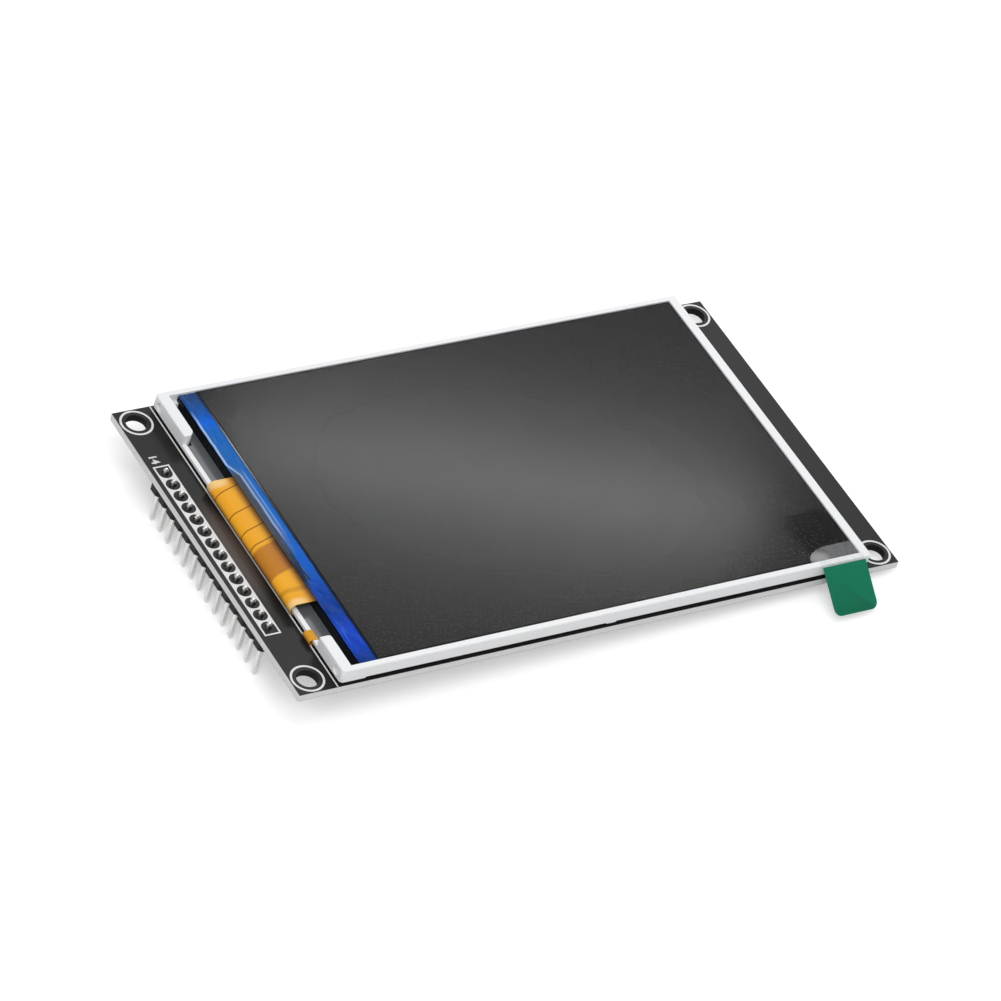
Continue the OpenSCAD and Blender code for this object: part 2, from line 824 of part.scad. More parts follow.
module socket_latch() {
  inner = socket_half + gap;
  outer = inner + latch_arm;
  tongue_top = mouth_top - gap;
  color("#2a2320") at_socket() {
    block(gap, -outer, latch_low - 0.2, gap + latch_bar, outer, socket_h - latch_rise);
    block(gap * 3 - mouth_d, gap * 2 - mouth_half, tongue_top - latch_tongue, 2 * gap, mouth_half - gap * 2, tongue_top);
    for (side = [-1, 1]) mirror([0, side < 0 ? 1 : 0, 0]) {
      block(barb_x, inner, latch_low, 2 * gap, outer, latch_high);
      block(barb_x, socket_half - notch_d + gap, latch_low, barb_x + barb_l, inner + eps, latch_high);
    }
  }
}

// Places a child in the card socket's own frame, on the board's back
module at_card() {
  translate([card_x, half_w - card_edge, 0]) mirror([0, 0, 1]) children();
}

// Side view of a sprung finger that hangs from the shell's top, l long from y0
module finger_profile(y0, l) {
  top = card_h;
  low = card_h - sheet_t;
  polygon([
    [y0, low], [y0 + l * 0.2, low], [y0 + l * 0.8, low - finger_drop], [y0 + l, low - finger_drop * 0.6],
    [y0 + l, top - finger_drop * 0.6], [y0 + l * 0.8, top - finger_drop], [y0 + l * 0.2, top], [y0, top]
  ]);
}

module card_shell() {
  half = card_w / 2;
  window_y = -card_d * 0.75;
  color("#c8cacc") at_card() {
    difference() {
      block(-half, -card_d, 0, half, 0, card_h);
      block(sheet_t - half, -card_d - 1, -1, half - sheet_t, 1, card_h - sheet_t);
      translate([0, 0.8, -1]) cylinder(h = card_h + 2, d = card_slot * 0.45);
      for (x = [-card_slot * 0.3, card_slot * 0.3]) {
        block(x - window_w / 2, window_y, card_h - 1, x + window_w / 2, window_y + window_l, card_h + 1);
      }
      for (side = [-1, 1]) {
        block(side * half - 1, -card_d * 0.62, -1, side * half + 1, -card_d * 0.38, card_h * 0.35);
      }
    }
    for (side = [-1, 1], y = [-card_d * 0.85, -card_d * 0.2]) mirror([side < 0 ? 1 : 0, 0, 0]) {
      block(half - eps, y - shell_foot / 2, 0, half + shell_foot, y + shell_foot / 2, sheet_t);
    }
    for (side = [-1, 1]) mirror([side < 0 ? 1 : 0, 0, 0]) {
      block(channel_half, -card_d, 0.3, half - eps, sheet_t - card_d, card_h - eps);
    }
    for (x = [-card_slot * 0.3, card_slot * 0.3]) {
      beside(x, finger_w) finger_profile(window_y - eps, window_l * 0.85);
    }
  }
}

module card_base() {
  slot_w = spring_w + 2 * gap;
  inner = base_back + base_wall;
  color("#1a1a1a") at_card() difference() {
    union() {
      block(-base_half, base_back, 0, base_half, base_front, card_floor);
      block(-base_half, base_back, 0, base_half, inner, base_top);
      for (side = [0, 1]) mirror([side, 0, 0]) {
        block(channel_half, base_back, 0, base_half, base_front, base_top);
      }
    }
    for (x = spring_xs) {
      block(x - slot_w / 2, base_back - 1, -1, x + slot_w / 2, inner + eps, contact_t + gap);
      block(x - slot_w / 2, inner, -1, x + slot_w / 2, spring_tip + 0.7, base_top);
    }
  }
}

// Side view of a card contact: foot, rising beam and rounded crest
module spring_profile() {
  bend = base_back + base_wall + 0.3;
  crest = spring_tip - 1.1;
  top = card_floor + spring_rise;
  t = contact_t;
  polygon([
    [spring_rear, 0], [bend, 0], [crest, top], [spring_tip - t / 2, card_floor],
    [spring_tip, card_floor + t], [crest, top + t], [bend - t / 2, t], [spring_rear, t]
  ]);
}

module card_contacts() {
  color("gold") at_card() for (x = spring_xs) beside(x, spring_w) spring_profile();
}

// Places a child on the board's back
module on_back(x, y) {
  translate([x, y, 0]) mirror([0, 0, 1]) children();
}

// Body of a small-outline part, raised on its leads, with chamfered long edges
module sot_body() {
  c = 0.2;
  w = sot_w / 2;
  across(0, sot_l) polygon([
    [-w, sot_h / 2], [c - w, 0.1], [w - c, 0.1], [w, sot_h / 2], [w - c, sot_h], [c - w, sot_h]
  ]);
}

// Side view of a gull-wing lead on the +X side of a small-outline part
module lead_profile() {
  w = sot_w / 2 + eps;
  z = sot_h / 2;
  t = lead_t;
  polygon([
    [w, z - t / 2], [w + t, z - t / 2], [w + t, 0], [w + t + lead_reach, 0],
    [w + t + lead_reach, t], [w + 2 * t, t], [w + 2 * t, z + t / 2], [w, z + t / 2]
  ]);
}

module regulator() {
  color("#1b1b1b") on_back(sot_x, regulator_y) sot_body();
}

module transistor() {
  color("#202020") on_back(sot_x, transistor_y) sot_body();
}

module chip_leads() {
  spread = sot_l * 0.33;
  color("silver") {
    on_back(sot_x, regulator_y) {
      for (y = [-spread, 0, spread]) across(y, lead_w) lead_profile();
      mirror([1, 0, 0]) for (y = [-spread, spread]) across(y, lead_w) lead_profile();
    }
    on_back(sot_x, transistor_y) {
      for (y = [-spread, spread]) across(y, lead_w) lead_profile();
      mirror([1, 0, 0]) across(0, lead_w) lead_profile();
    }
  }
}

// Ceramic middles of a column of chip parts
module chip_column(ys, h) {
  middle = chip_l / 2 - chip_end;
  for (y = ys) on_back(parts_x, y) {
    block(-middle, -chip_w / 2, 0, middle, chip_w / 2, h);
  }
}

// Metal ends of a column of chip parts
module chip_column_ends(ys, h) {
  middle = chip_l / 2 - chip_end;
  for (y = ys, side = [0, 1]) on_back(parts_x, y) mirror([side, 0, 0]) {
    block(middle, -chip_w / 2, 0, chip_l / 2, chip_w / 2, h);
  }
}

module capacitors() {
  color("#b59a72") chip_column(capacitor_ys, capacitor_h);
}

module resistors() {
  color("#161616") chip_column(resistor_ys, resistor_h);
}

module chip_ends() {
  color("silver") {
    chip_column_ends(capacitor_ys, capacitor_h);
    chip_column_ends(resistor_ys, resistor_h);
  }
}

pcb();
header_body();
header_pins();
solder_joints();
foam_tape();
backlight_frame();
reflector_sheet();
light_guide();
led_strip();
leds();
diffuser_film();
lower_prism_film();
upper_prism_film();
shade_tape();
rear_polarizer();
tft_glass();
filter_glass();
front_polarizer();
cover_film();
pull_tab();
driver_chip();
ledge_film();
display_flex();
socket_housing();
socket_contacts();
socket_latch();
card_shell();
card_base();
card_contacts();
regulator();
transistor();
chip_leads();
capacitors();
resistors();
chip_ends();
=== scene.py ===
"""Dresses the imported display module: finishes, print, rounded pieces and a studio."""

import json
import math

import bpy
from mathutils import Matrix, Vector


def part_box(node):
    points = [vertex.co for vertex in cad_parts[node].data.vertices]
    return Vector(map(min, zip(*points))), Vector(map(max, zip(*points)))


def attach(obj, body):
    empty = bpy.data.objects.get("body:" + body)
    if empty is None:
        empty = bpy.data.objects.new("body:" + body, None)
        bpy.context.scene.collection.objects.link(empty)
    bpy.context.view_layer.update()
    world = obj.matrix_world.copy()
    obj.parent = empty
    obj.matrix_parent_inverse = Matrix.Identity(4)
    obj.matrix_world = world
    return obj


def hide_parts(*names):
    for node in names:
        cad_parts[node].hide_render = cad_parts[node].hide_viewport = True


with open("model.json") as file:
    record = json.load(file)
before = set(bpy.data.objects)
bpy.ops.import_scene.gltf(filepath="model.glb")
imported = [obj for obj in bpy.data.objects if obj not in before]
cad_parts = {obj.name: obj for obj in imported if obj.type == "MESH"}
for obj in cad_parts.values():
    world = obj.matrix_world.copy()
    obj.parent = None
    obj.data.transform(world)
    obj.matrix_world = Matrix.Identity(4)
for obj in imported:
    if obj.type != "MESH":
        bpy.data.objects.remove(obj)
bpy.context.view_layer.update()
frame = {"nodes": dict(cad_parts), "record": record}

bl_info = {
    "name": "Display module",
    "version": (1, 0, 0),
    "blender": (4, 5, 0),
    "location": "View3D > Sidebar > Display module",
    "description": "Finishes, print, rounded pieces and a studio for a display module",
    "category": "Object",
}

MM = 0.001

# The pin header, in millimetres
PIN_COUNT = 14
PIN_PITCH = 2.54
PIN_WIDTH = 0.64
HALF_ROW = (PIN_COUNT - 1) * PIN_PITCH / 2


def low_high(node):
    """Lowest and highest corners of a solid, in millimetres."""
    low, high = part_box(node)
    return low / MM, high / MM


def srgb(red, green, blue):
    """Linear colour of an 8-bit display colour."""
    parts = [c / 255 for c in (red, green, blue)]
    return tuple(
        c / 12.92 if c < 0.04 else ((c + 0.055) / 1.055) ** 2.4 for c in parts
    ) + (1.0,)


# --- Sizes and colours that a user would change -------------------------------


class PrintSettings(bpy.types.PropertyGroup):
    """Sizes and colour of what is printed on the board"""

    line: bpy.props.FloatProperty(
        name="Line width",
        description="Width of the printed lines",
        default=0.22 * MM,
        unit="LENGTH",
    )
    thickness: bpy.props.FloatProperty(
        name="Ink thickness",
        description="Thickness of the printed ink",
        default=0.02 * MM,
        unit="LENGTH",
    )
    ring_radius: bpy.props.FloatProperty(
        name="Ring radius",
        description="Outer radius of the ring round each mounting hole",
        default=2.62 * MM,
        unit="LENGTH",
    )
    ring_line: bpy.props.FloatProperty(
        name="Ring line",
        description="Width of the ring round each mounting hole",
        default=0.34 * MM,
        unit="LENGTH",
    )
    box_width: bpy.props.FloatProperty(
        name="Box width",
        description="Width of the printed box round the header",
        default=2.76 * MM,
        unit="LENGTH",
    )
    box_line: bpy.props.FloatProperty(
        name="Box line",
        description="Width of the printed box's lines",
        default=0.26 * MM,
        unit="LENGTH",
    )
    pad_opening: bpy.props.FloatProperty(
        name="Pad opening",
        description="Length left clear round each header pad",
        default=2.24 * MM,
        unit="LENGTH",
    )
    numeral: bpy.props.FloatProperty(
        name="Numeral height",
        description="Height of the printed pin numbers",
        default=1.5 * MM,
        unit="LENGTH",
    )
    ink: bpy.props.FloatVectorProperty(
        name="Ink",
        description="Colour of the printed ink",
        default=srgb(238, 238, 238),
        size=4,
        subtype="COLOR",
    )


class FinishSettings(bpy.types.PropertyGroup):
    """Main colours of the finishes"""

    mask: bpy.props.FloatVectorProperty(
        name="Board mask",
        description="Colour of the board's solder mask",
        default=srgb(20, 21, 21),
        size=4,
        subtype="COLOR",
    )
    frame: bpy.props.FloatVectorProperty(
        name="Frame",
        description="Colour of the moulded display frame",
        default=srgb(243, 244, 245),
        size=4,
        subtype="COLOR",
    )
    flex: bpy.props.FloatVectorProperty(
        name="Flex",
        description="Colour of the amber flexible circuit",
        default=srgb(246, 178, 44),
        size=4,
        subtype="COLOR",
    )
    tape: bpy.props.FloatVectorProperty(
        name="Ledge tape",
        description="Colour of the blue tape over the panel's ledge",
        default=srgb(10, 92, 205),
        size=4,
        subtype="COLOR",
    )
    tab: bpy.props.FloatVectorProperty(
        name="Pull tab",
        description="Colour of the green pull tab",
        default=srgb(14, 113, 82),
        size=4,
        subtype="COLOR",
    )
    screen: bpy.props.FloatVectorProperty(
        name="Screen",
        description="Colour of the screen when it is off",
        default=srgb(8, 9, 10),
        size=4,
        subtype="COLOR",
    )


class StageSettings(bpy.types.PropertyGroup):
    """Light levels and the camera's lens"""

    ambient: bpy.props.FloatProperty(
        name="Ambient light",
        description="Level of the light that comes from all sides",
        default=0.52,
        min=0,
    )
    key: bpy.props.FloatProperty(
        name="Key light",
        description="Power of the large soft lamp overhead",
        default=3.6,
        min=0,
        subtype="POWER",
    )
    sheen: bpy.props.FloatProperty(
        name="Sheen light",
        description="Power of the small lamp that the screen reflects softly",
        default=0.125,
        min=0,
        subtype="POWER",
    )
    lens: bpy.props.FloatProperty(
        name="Lens",
        description="Focal length of the camera, in millimetres",
        default=208.943,
        min=1,
    )


# --- Finishes ------------------------------------------------------------------


class Wire:
    """An output of a material node, which takes part in sums as a number does."""

    def __init__(self, finish, socket):
        self.finish = finish
        self.socket = socket

    def maths(self, operation, *values, clamp=False):
        return self.finish.node(
            "ShaderNodeMath",
            {"operation": operation, "use_clamp": clamp},
            dict(enumerate(values)),
        )

    def __add__(self, other):
        return self.maths("ADD", self, other)

    def __sub__(self, other):
        return self.maths("SUBTRACT", self, other)

    def __rsub__(self, other):
        return self.maths("SUBTRACT", other, self)

    def __mul__(self, other):
        return self.maths("MULTIPLY", self, other)

    def __truediv__(self, other):
        return self.maths("DIVIDE", self, other)

    def __rtruediv__(self, other):
        return self.maths("DIVIDE", other, self)

    def __pow__(self, other):
        return self.maths("POWER", self, other)

    def __mod__(self, other):
        return self.maths("FLOORED_MODULO", self, other)

    def __abs__(self):
        return self.maths("ABSOLUTE", self)

    __radd__ = __add__
    __rmul__ = __mul__

    def clamp(self):
        return self.maths("ADD", self, 0.0, clamp=True)

    def at_least(self, other):
        return self.maths("MAXIMUM", self, other)


class Shading:
    """A tree of shader nodes, cleared and ready to fill."""

    def __init__(self, tree):
        self.tree = tree
        self.tree.nodes.clear()

    def node(self, kind, settings=None, inputs=None, out=0):
        """Adds a node, sets it up, then fills its sockets with values or wires."""
        node = self.tree.nodes.new(kind)
        for name, value in (settings or {}).items():
            if name == "stops":
                ramp = node.color_ramp.elements
                while len(ramp) < len(value):
                    ramp.new(1.0)
                for element, (at, colour) in zip(ramp, value):
                    element.position, element.color = at, colour
            else:
                setattr(node, name, value)
        for name, value in (inputs or {}).items():
            if isinstance(value, Wire):
                self.tree.links.new(value.socket, node.inputs[name])
            else:
                node.inputs[name].default_value = value
        return None if out is None else Wire(self, node.outputs[out])

    def seen(self):
        """1 for what the camera sees, straight or through a gloss or a clear piece."""
        seen = 0
        for ray in ("Camera", "Glossy", "Transmission"):
            seen = self.node("ShaderNodeLightPath", out=f"Is {ray} Ray") + seen
        return seen.clamp()


class Finish(Shading):
    """A procedural material that is written as expressions on places in millimetres."""

    made = {}

    def __init__(self, name):
        self.material = bpy.data.materials.new(name)
        self.material.use_nodes = True
        super().__init__(self.material.node_tree)
        Finish.made[name] = self.material
        place = self.node("ShaderNodeTexCoord", out="Object")
        self.place = self.node(
            "ShaderNodeVectorMath",
            {"operation": "SCALE"},
            {0: place, "Scale": 1 / MM},
        )
        self.x, self.y, self.z = (
            self.node("ShaderNodeSeparateXYZ", inputs={0: self.place}, out=axis)
            for axis in "XYZ"
        )

    def noise(self, size, detail=3.0, stretch=(1, 1, 1), warp=0.0):
        """Soft random value with features of about that many millimetres."""
        stretched = self.node(
            "ShaderNodeMapping",
            {"vector_type": "POINT"},
            {0: self.place, "Scale": tuple(1 / (size * s) for s in stretch)},
        )
        return self.node(
            "ShaderNodeTexNoise",
            inputs={
                "Vector": stretched,
                "Scale": 1.0,
                "Detail": detail,
                "Distortion": warp,
            },
        )

    def step(self, value, edge, soft):
        """0 below the edge and 1 above it, turning over that width."""
        return ((value - edge) / soft + 0.5).clamp()

    def band(self, value, low, high, soft):
        """1 from low to high and 0 outside, with soft edges."""
        return self.step(value, low, soft) * (1 - self.step(value, high, soft))

    def spot(self, x, y, wide, deep, turn=0.0):
        """1 at a place seen from above, falling softly to 0 at an ellipse round it."""
        c, s = math.cos(math.radians(turn)), math.sin(math.radians(turn))
        along = ((self.x - x) * c + (self.y - y) * s) / wide
        across = ((self.y - y) * c - (self.x - x) * s) / deep
        fall = (1 - (along * along + across * across)).clamp()
        return fall * fall * (3 - 2 * fall)

    def mix(self, mask, low, high):
        """Colour that goes from low to high as the mask goes from 0 to 1."""
        return self.node(
            "ShaderNodeMix",
            {"data_type": "RGBA"},
            {0: mask, 6: low, 7: high},
            out=2,
        )

    def ramp(self, value, low, high, *stops):
        """Colour that follows a value from low to high, by (value, colour) stops."""
        share = ((value - low) / (high - low)).clamp()
        places = [((at - low) / (high - low), colour) for at, colour in stops]
        return self.node("ShaderNodeValToRGB", {"stops": places}, {0: share})

    def bump(self, height, depth):
        """Normal of a surface that a height of 1 raises by that many millimetres."""
        return self.node(
            "ShaderNodeBump",
            inputs={"Height": height, "Distance": depth * MM, "Strength": 1.0},
        )

    def done(self, **sockets):
        """Ends the material in one surface shader; Base_Color stands for Base Color."""
        surface = self.node(
            "ShaderNodeBsdfPrincipled",
            inputs={name.replace("_", " "): value for name, value in sockets.items()},
        )
        self.node("ShaderNodeOutputMaterial", inputs={"Surface": surface}, out=None)


def finish_board(settings):
    """Satin black mask with a painted brownish reflection beside the header, pale
    laminate on its outer edges and painted shade on the hole walls.
    """
    f = Finish("board_mask")
    low, high = low_high("pcb")
    skin = 0.03
    inside = f.band(f.z, skin, high.z - skin, 0.02)
    half_l, half_w = (high.x - low.x) / 2, (high.y - low.y) / 2
    rim = 0.02
    edge = f.step(abs(f.x), half_l - rim, 0.01).at_least(
        f.step(abs(f.y), half_w - rim, 0.01)
    )
    fibre = f.mix(
        f.noise(0.12, 4, (14, 14, 0.6)), srgb(206, 206, 207), srgb(246, 246, 247)
    )
    # Pale laminate on the outer edges; the dark colour on the hole walls is painted
    # shade.
    laminate_with_hole_shade = f.mix(edge, srgb(30, 28, 26), fibre)
    mask = f.mix(f.noise(9, 3), settings.mask, srgb(32, 33, 32))
    # Painted reflection: a brownish sheen on the mask beside the header.
    painted_reflection = f.spot(low.x + 4.6, -1, 2.2, 12.5) * 0.7
    mask = f.mix(painted_reflection, mask, srgb(90, 78, 72))
    weave = f.noise(0.5, 2, (1, 5, 1)) + f.noise(0.5, 2, (5, 1, 1))
    f.done(
        Base_Color=f.mix(inside, mask, laminate_with_hole_shade),
        Roughness=inside * 0.4 + 0.4,
        Normal=f.bump(weave * 0.5, 0.004),
        Specular_IOR_Level=0.17,
    )


def finish_print(settings):
    """Pale ink, a little thin in places."""
    f = Finish("print_ink")
    patchy = f.noise(0.5, 4)
    f.done(
        Base_Color=f.mix(patchy, srgb(214, 214, 214), settings.ink),
        Roughness=0.55,
        Normal=f.bump(f.noise(0.15, 3), 0.006),
    )


def finish_frame(settings):
    """Smooth white moulding that lets a little light in."""
    f = Finish("frame_plastic")
    soft = f.noise(12, 2)
    f.done(
        Base_Color=f.mix(soft, settings.frame, srgb(238, 240, 242)),
        Roughness=0.42,
        Specular_IOR_Level=0.3,
        Normal=f.bump(f.noise(0.35, 3), 0.004),
        Subsurface_Weight=0.08,
        Subsurface_Scale=0.4 * MM,
    )


def finish_screen(settings):
    """Dark film with a soft sheen, a painted lighter sheen across its middle, a painted
    reflection that is lighter and warmer towards −X, and a darker, glossier patch by
    the tab.
    """
    f = Finish("polarizer")
    low, high = low_high("front_polarizer")
    along_screen_x = ((f.x - low.x) / (high.x - low.x)).clamp()
    # Painted sheen: a lighter, soft patch across the middle of the screen.
    mottle_and_painted_sheen = f.spot(-2, 0, 46, 30, -22) * (f.noise(12, 3) * 0.4 + 0.6)
    tone = f.mix(mottle_and_painted_sheen, settings.screen, srgb(28, 29, 28))
    # Painted reflection: lighter and warmer towards the −X end of the screen.
    tone = f.mix((1 - along_screen_x) * 0.4, tone, srgb(18, 17, 13))
    tilt = (f.x - 40) * 0.05
    patch = f.band(f.x + (f.y + 22) * 0.3, 36.2, 46, 0.9) * f.band(
        f.y - tilt, -27.4, -18.7, 0.9
    )
    tone = f.mix(patch * 0.9, tone, srgb(4, 5, 7))
    rim = 1 - f.step(f.x, low.x + 0.5, 0.3)
    tone = f.mix(rim, tone, srgb(6, 6, 7))
    f.done(
        Base_Color=tone,
        Roughness=0.216 - patch * 0.12,
        Normal=f.bump(f.noise(6, 2), 0.0006),
        Specular_IOR_Level=0.13,
    )


def finish_cover():
    """Clear protective film with a faint ripple."""
    f = Finish("cover_film")
    f.done(
        Base_Color=srgb(250, 250, 250),
        Roughness=0.12,
        Transmission_Weight=1.0,
        IOR=1.2,
        Alpha=0.12,
        Normal=f.bump(f.noise(6, 2), 0.004),
    )


def finish_tape(settings):
    """Creased blue tape, darker at one end, with a pale edge that wanders inwards."""
    f = Finish("blue_film")
    low, high = low_high("ledge_film")
    along = f.y + (f.noise(2.2, 3, (0.6, 1, 1)) - 0.5) * 1.2
    body = f.ramp(
        along,
        low.y,
        high.y,
        (-28.5, srgb(0, 34, 100)),
        (-25.5, srgb(4, 56, 178)),
        (-22.0, srgb(6, 62, 192)),
        (-18.0, srgb(0, 44, 124)),
        (-13.0, srgb(2, 62, 158)),
        (-9.0, srgb(10, 92, 192)),
        (0.0, srgb(24, 104, 196)),
        (14.0, srgb(28, 102, 174)),
        (20.5, srgb(22, 102, 182)),
        (22.5, srgb(2, 102, 222)),
        (24.5, srgb(18, 84, 160)),
        (28.0, srgb(34, 62, 94)),
    )
    # Random lighter mottle in the tape's colour.
    mottle_and_painted_sheen = f.step(f.noise(1.1, 4, (0.7, 2.5, 1), warp=0.8), 0.5, 0.35)
    body = f.mix(mottle_and_painted_sheen * 0.3, body, settings.tape)
    drawn_in = ((13.5 - f.y) / 2.5).clamp() * ((f.y + 14) / 3).clamp()
    wander = drawn_in * 1.05 - (f.noise(3, 2) - 0.5) * 0.25
    from_edge = f.x - low.x - wander
    line = f.band(from_edge, 0.06, 0.42, 0.14) * f.band(f.y, -2, 24, 3)
    dusk = f.band(from_edge, 0.3, 0.95, 0.2) * drawn_in * f.step(f.y, -4, 5)
    body = f.mix(dusk * 0.6, body, srgb(88, 112, 150))
    body = f.mix(line * (0.85 - drawn_in * 0.25), body, srgb(170, 196, 232))
    inner = f.band(f.x - low.x, 1.9, 2.15, 0.14) * drawn_in * f.band(f.y, -1, 12, 3)
    body = f.mix(inner * 0.7, body, srgb(110, 168, 238))
    bare = (1 - f.step(from_edge, 0.08, 0.1)) * drawn_in
    shade = f.mix(f.step(f.y, -6, 5), srgb(18, 32, 44), srgb(70, 72, 66))
    body = f.mix(bare * 0.92, body, shade)
    fine = f.step(f.noise(0.35, 3, (0.5, 12, 1)), 0.64, 0.06) * 0.35
    fine = fine * f.band(f.x, low.x + 0.6, low.x + 1.6, 0.3)
    body = f.mix(fine, body, srgb(120, 158, 210))
    crease = f.noise(0.8, 4, (0.7, 1.6, 1), warp=1.2)
    f.done(
        Base_Color=body,
        Roughness=0.34,
        Specular_IOR_Level=0.05,
        Normal=f.bump(crease, 0.03),
    )


def finish_flex(settings):
    """Amber film over copper, with dark slits between the groups of tracks, painted
    shade along a crease, low down and where it slopes under the ledge, and painted
    highlights at each end.
    """
    f = Finish("polyimide")
    low, high = low_high("display_flex")
    tilt = f.y - (f.x - low.x) * 0.3
    slits = 0
    for y in (8.4, 3.9, 0.1, -2.8):
        slits = f.band(tilt, y - 0.1, y + 0.12, 0.14) + slits
    brown = f.band(tilt, -9.4, -3.6, 0.4)
    crease_shade = f.band(f.y, -12.8, -12.0, 0.5)
    tracks = abs((f.y % 0.5) - 0.25) * 4
    tone = f.mix(f.noise(2.5, 3, (1, 2.5, 1)), settings.flex, srgb(238, 164, 40))
    tone = f.mix(f.step(tracks, 0.55, 0.3) * 0.06, tone, srgb(190, 118, 16))
    tone = f.mix(brown * 0.85, tone, srgb(180, 112, 40))
    # Dark slits, and painted shade along the crease.
    tone = f.mix((slits * 0.8 + crease_shade * 0.3).clamp(), tone, srgb(104, 62, 10))
    # Painted highlights: pale spots at each end of the outer bend.
    painted_end_highlights = f.spot(low.x + 1.2, low.y + 0.4, 2.2, 1.1) + f.spot(
        low.x + 1.2, high.y - 0.5, 2.2, 1.3
    )
    tone = f.mix(painted_end_highlights.clamp() * 0.8, tone, srgb(250, 214, 150))
    # Painted shade: darker low down, near the board.
    foot = 1 - f.step(f.z, low.z + 1.0, 1.1)
    tone = f.mix(foot * 0.6, tone, srgb(110, 66, 10))
    # Painted shade: dimmer and bluer grey where the flex slopes down under the ledge.
    inner = f.ramp(
        f.x,
        low.x,
        high.x,
        (low.x + 2.2, srgb(255, 255, 255)),
        (low.x + 2.8, srgb(244, 246, 255)),
        (low.x + 3.25, srgb(212, 210, 250)),
        (low.x + 3.7, srgb(140, 142, 220)),
    )
    tone = f.node(
        "ShaderNodeMix",
        {"data_type": "RGBA", "blend_type": "MULTIPLY"},
        {0: 1.0, 6: tone, 7: inner},
        out=2,
    )
    f.done(
        Base_Color=tone,
        Roughness=0.4,
        Specular_IOR_Level=0.12,
        Normal=f.bump(tracks * 0.1 + f.noise(1.5, 3), 0.01),
    )


def finish_tab(settings):
    """Green from the bend outwards, and clear where it is stuck to the screen."""
    f = Finish("tab_film")
    frame_low = low_high("backlight_frame")[0]
    low = low_high("pull_tab")[0]
    clear = f.step(f.y, frame_low.y - 0.42, 0.06)
    end = f.spot(low.x + 1.6, frame_low.y + 1.6, 2.4, 1.6)
    streak = f.step(f.noise(0.8, 3, (1, 5, 1)), 0.5, 0.3) * 0.05
    film = f.mix(end, srgb(232, 235, 237), srgb(250, 250, 250))
    weave = f.noise(0.3, 3)
    green = f.mix(weave, settings.tab, srgb(22, 119, 88))
    f.done(
        Base_Color=f.mix(clear, green, film),
        Roughness=0.5,
        Specular_IOR_Level=0.12,
        Alpha=1 - clear * (0.93 - end * 0.1 - streak),
        Normal=f.bump(weave, 0.006),
    )


def finish_reflector():
    """Grey sheet under the backlight."""
    f = Finish("reflector")
    f.done(
        Base_Color=f.mix(f.noise(3, 2), srgb(84, 88, 92), srgb(96, 100, 103)),
        Roughness=0.3,
        Normal=f.bump(f.noise(1.2, 2), 0.006),
    )


def finish_solder():
    """Dull grey solder with a painted highlight at the outer foot of each joint."""
    f = Finish("solder")
    low, high = low_high("solder_joints")
    grain = f.noise(0.35, 4, warp=0.8)
    aside = f.x - (low.x + high.x) / 2 + 0.6
    along = (f.y - low.y) % PIN_PITCH - (high.x - low.x) / 2 + 0.2
    distance = (aside * aside + along * along) ** 0.5
    # Painted highlight: a bright spot at the outer foot of each joint.
    bright = 1 - f.step(distance, 0.36, 0.25)
    dull = f.mix(grain, srgb(84, 80, 78), srgb(128, 124, 120))
    f.done(
        Base_Color=f.mix(bright, dull, srgb(240, 238, 236)),
        Metallic=1.0,
        Roughness=0.3,
        Normal=f.bump(grain, 0.02),
    )


def finish_pins():
    """Pale bright plating, brushed along the pins."""
    f = Finish("gold_plate")
    brushed = f.noise(0.3, 3, (1, 1, 9))
    f.done(
        Base_Color=f.mix(brushed, srgb(204, 204, 203), srgb(238, 237, 234)),
        Metallic=1.0,
        Roughness=0.26,
        Normal=f.bump(brushed, 0.003),
    )


def plain(name, dark, light, size=1.0, depth=0.004, stretch=(1, 1, 1), **sockets):
    """A finish of two close tones and a fine grain, for a small part."""
    f = Finish(name)
    grain = f.noise(size, 3, stretch)
    f.done(Base_Color=f.mix(grain, dark, light), Normal=f.bump(grain, depth), **sockets)


def small_finishes():
    """Finishes of the small parts and of those that the screen hides."""
    dull = {"Roughness": 0.6, "Specular_IOR_Level": 0.2}
    satin = {"Roughness": 0.4, "Specular_IOR_Level": 0.3}
    gloss = {"Roughness": 0.1, "Specular_IOR_Level": 0.15}
    steel = {"Metallic": 1.0, "Roughness": 0.3}
    plain("header_plastic", srgb(20, 20, 21), srgb(38, 38, 40), 0.4, **dull)
    plain("foam", srgb(10, 10, 10), srgb(22, 22, 22), 0.15, 0.03, **dull)
    plain("acrylic", srgb(225, 232, 236), srgb(242, 246, 248), 3, **satin)
    plain("led_package", srgb(236, 232, 205), srgb(250, 248, 238), 0.4, **satin)
    plain("optical_film", srgb(205, 208, 212), srgb(226, 228, 230), 2, **satin)
    plain("shade", srgb(8, 9, 10), srgb(16, 18, 20), 0.8, **dull)
    plain("panel_glass", srgb(12, 17, 21), srgb(20, 28, 34), 3, 0.0005, **gloss)
    plain("chip_plastic", srgb(24, 24, 25), srgb(40, 40, 41), 0.15, 0.008, **dull)
    plain("socket_plastic", srgb(214, 208, 192), srgb(230, 226, 212), 0.5, **satin)
    plain("latch_plastic", srgb(34, 32, 31), srgb(52, 49, 47), 0.4, **satin)
    plain(
        "shell_steel",
        srgb(178, 180, 182),
        srgb(212, 214, 215),
        0.5,
        stretch=(8, 1, 1),
        **steel,
    )
    plain("tin", srgb(188, 190, 192), srgb(224, 225, 226), 0.25, 0.008, **steel)
    plain("ceramic", srgb(150, 122, 92), srgb(178, 150, 118), 0.3, **dull)


# --- Modelling helpers ----------------------------------------------------------


def deselect():
    """Leaves edit mode, with nothing selected."""
    if bpy.context.object and bpy.context.object.mode != "OBJECT":
        bpy.ops.object.mode_set(mode="OBJECT")
    bpy.ops.object.select_all(action="DESELECT")


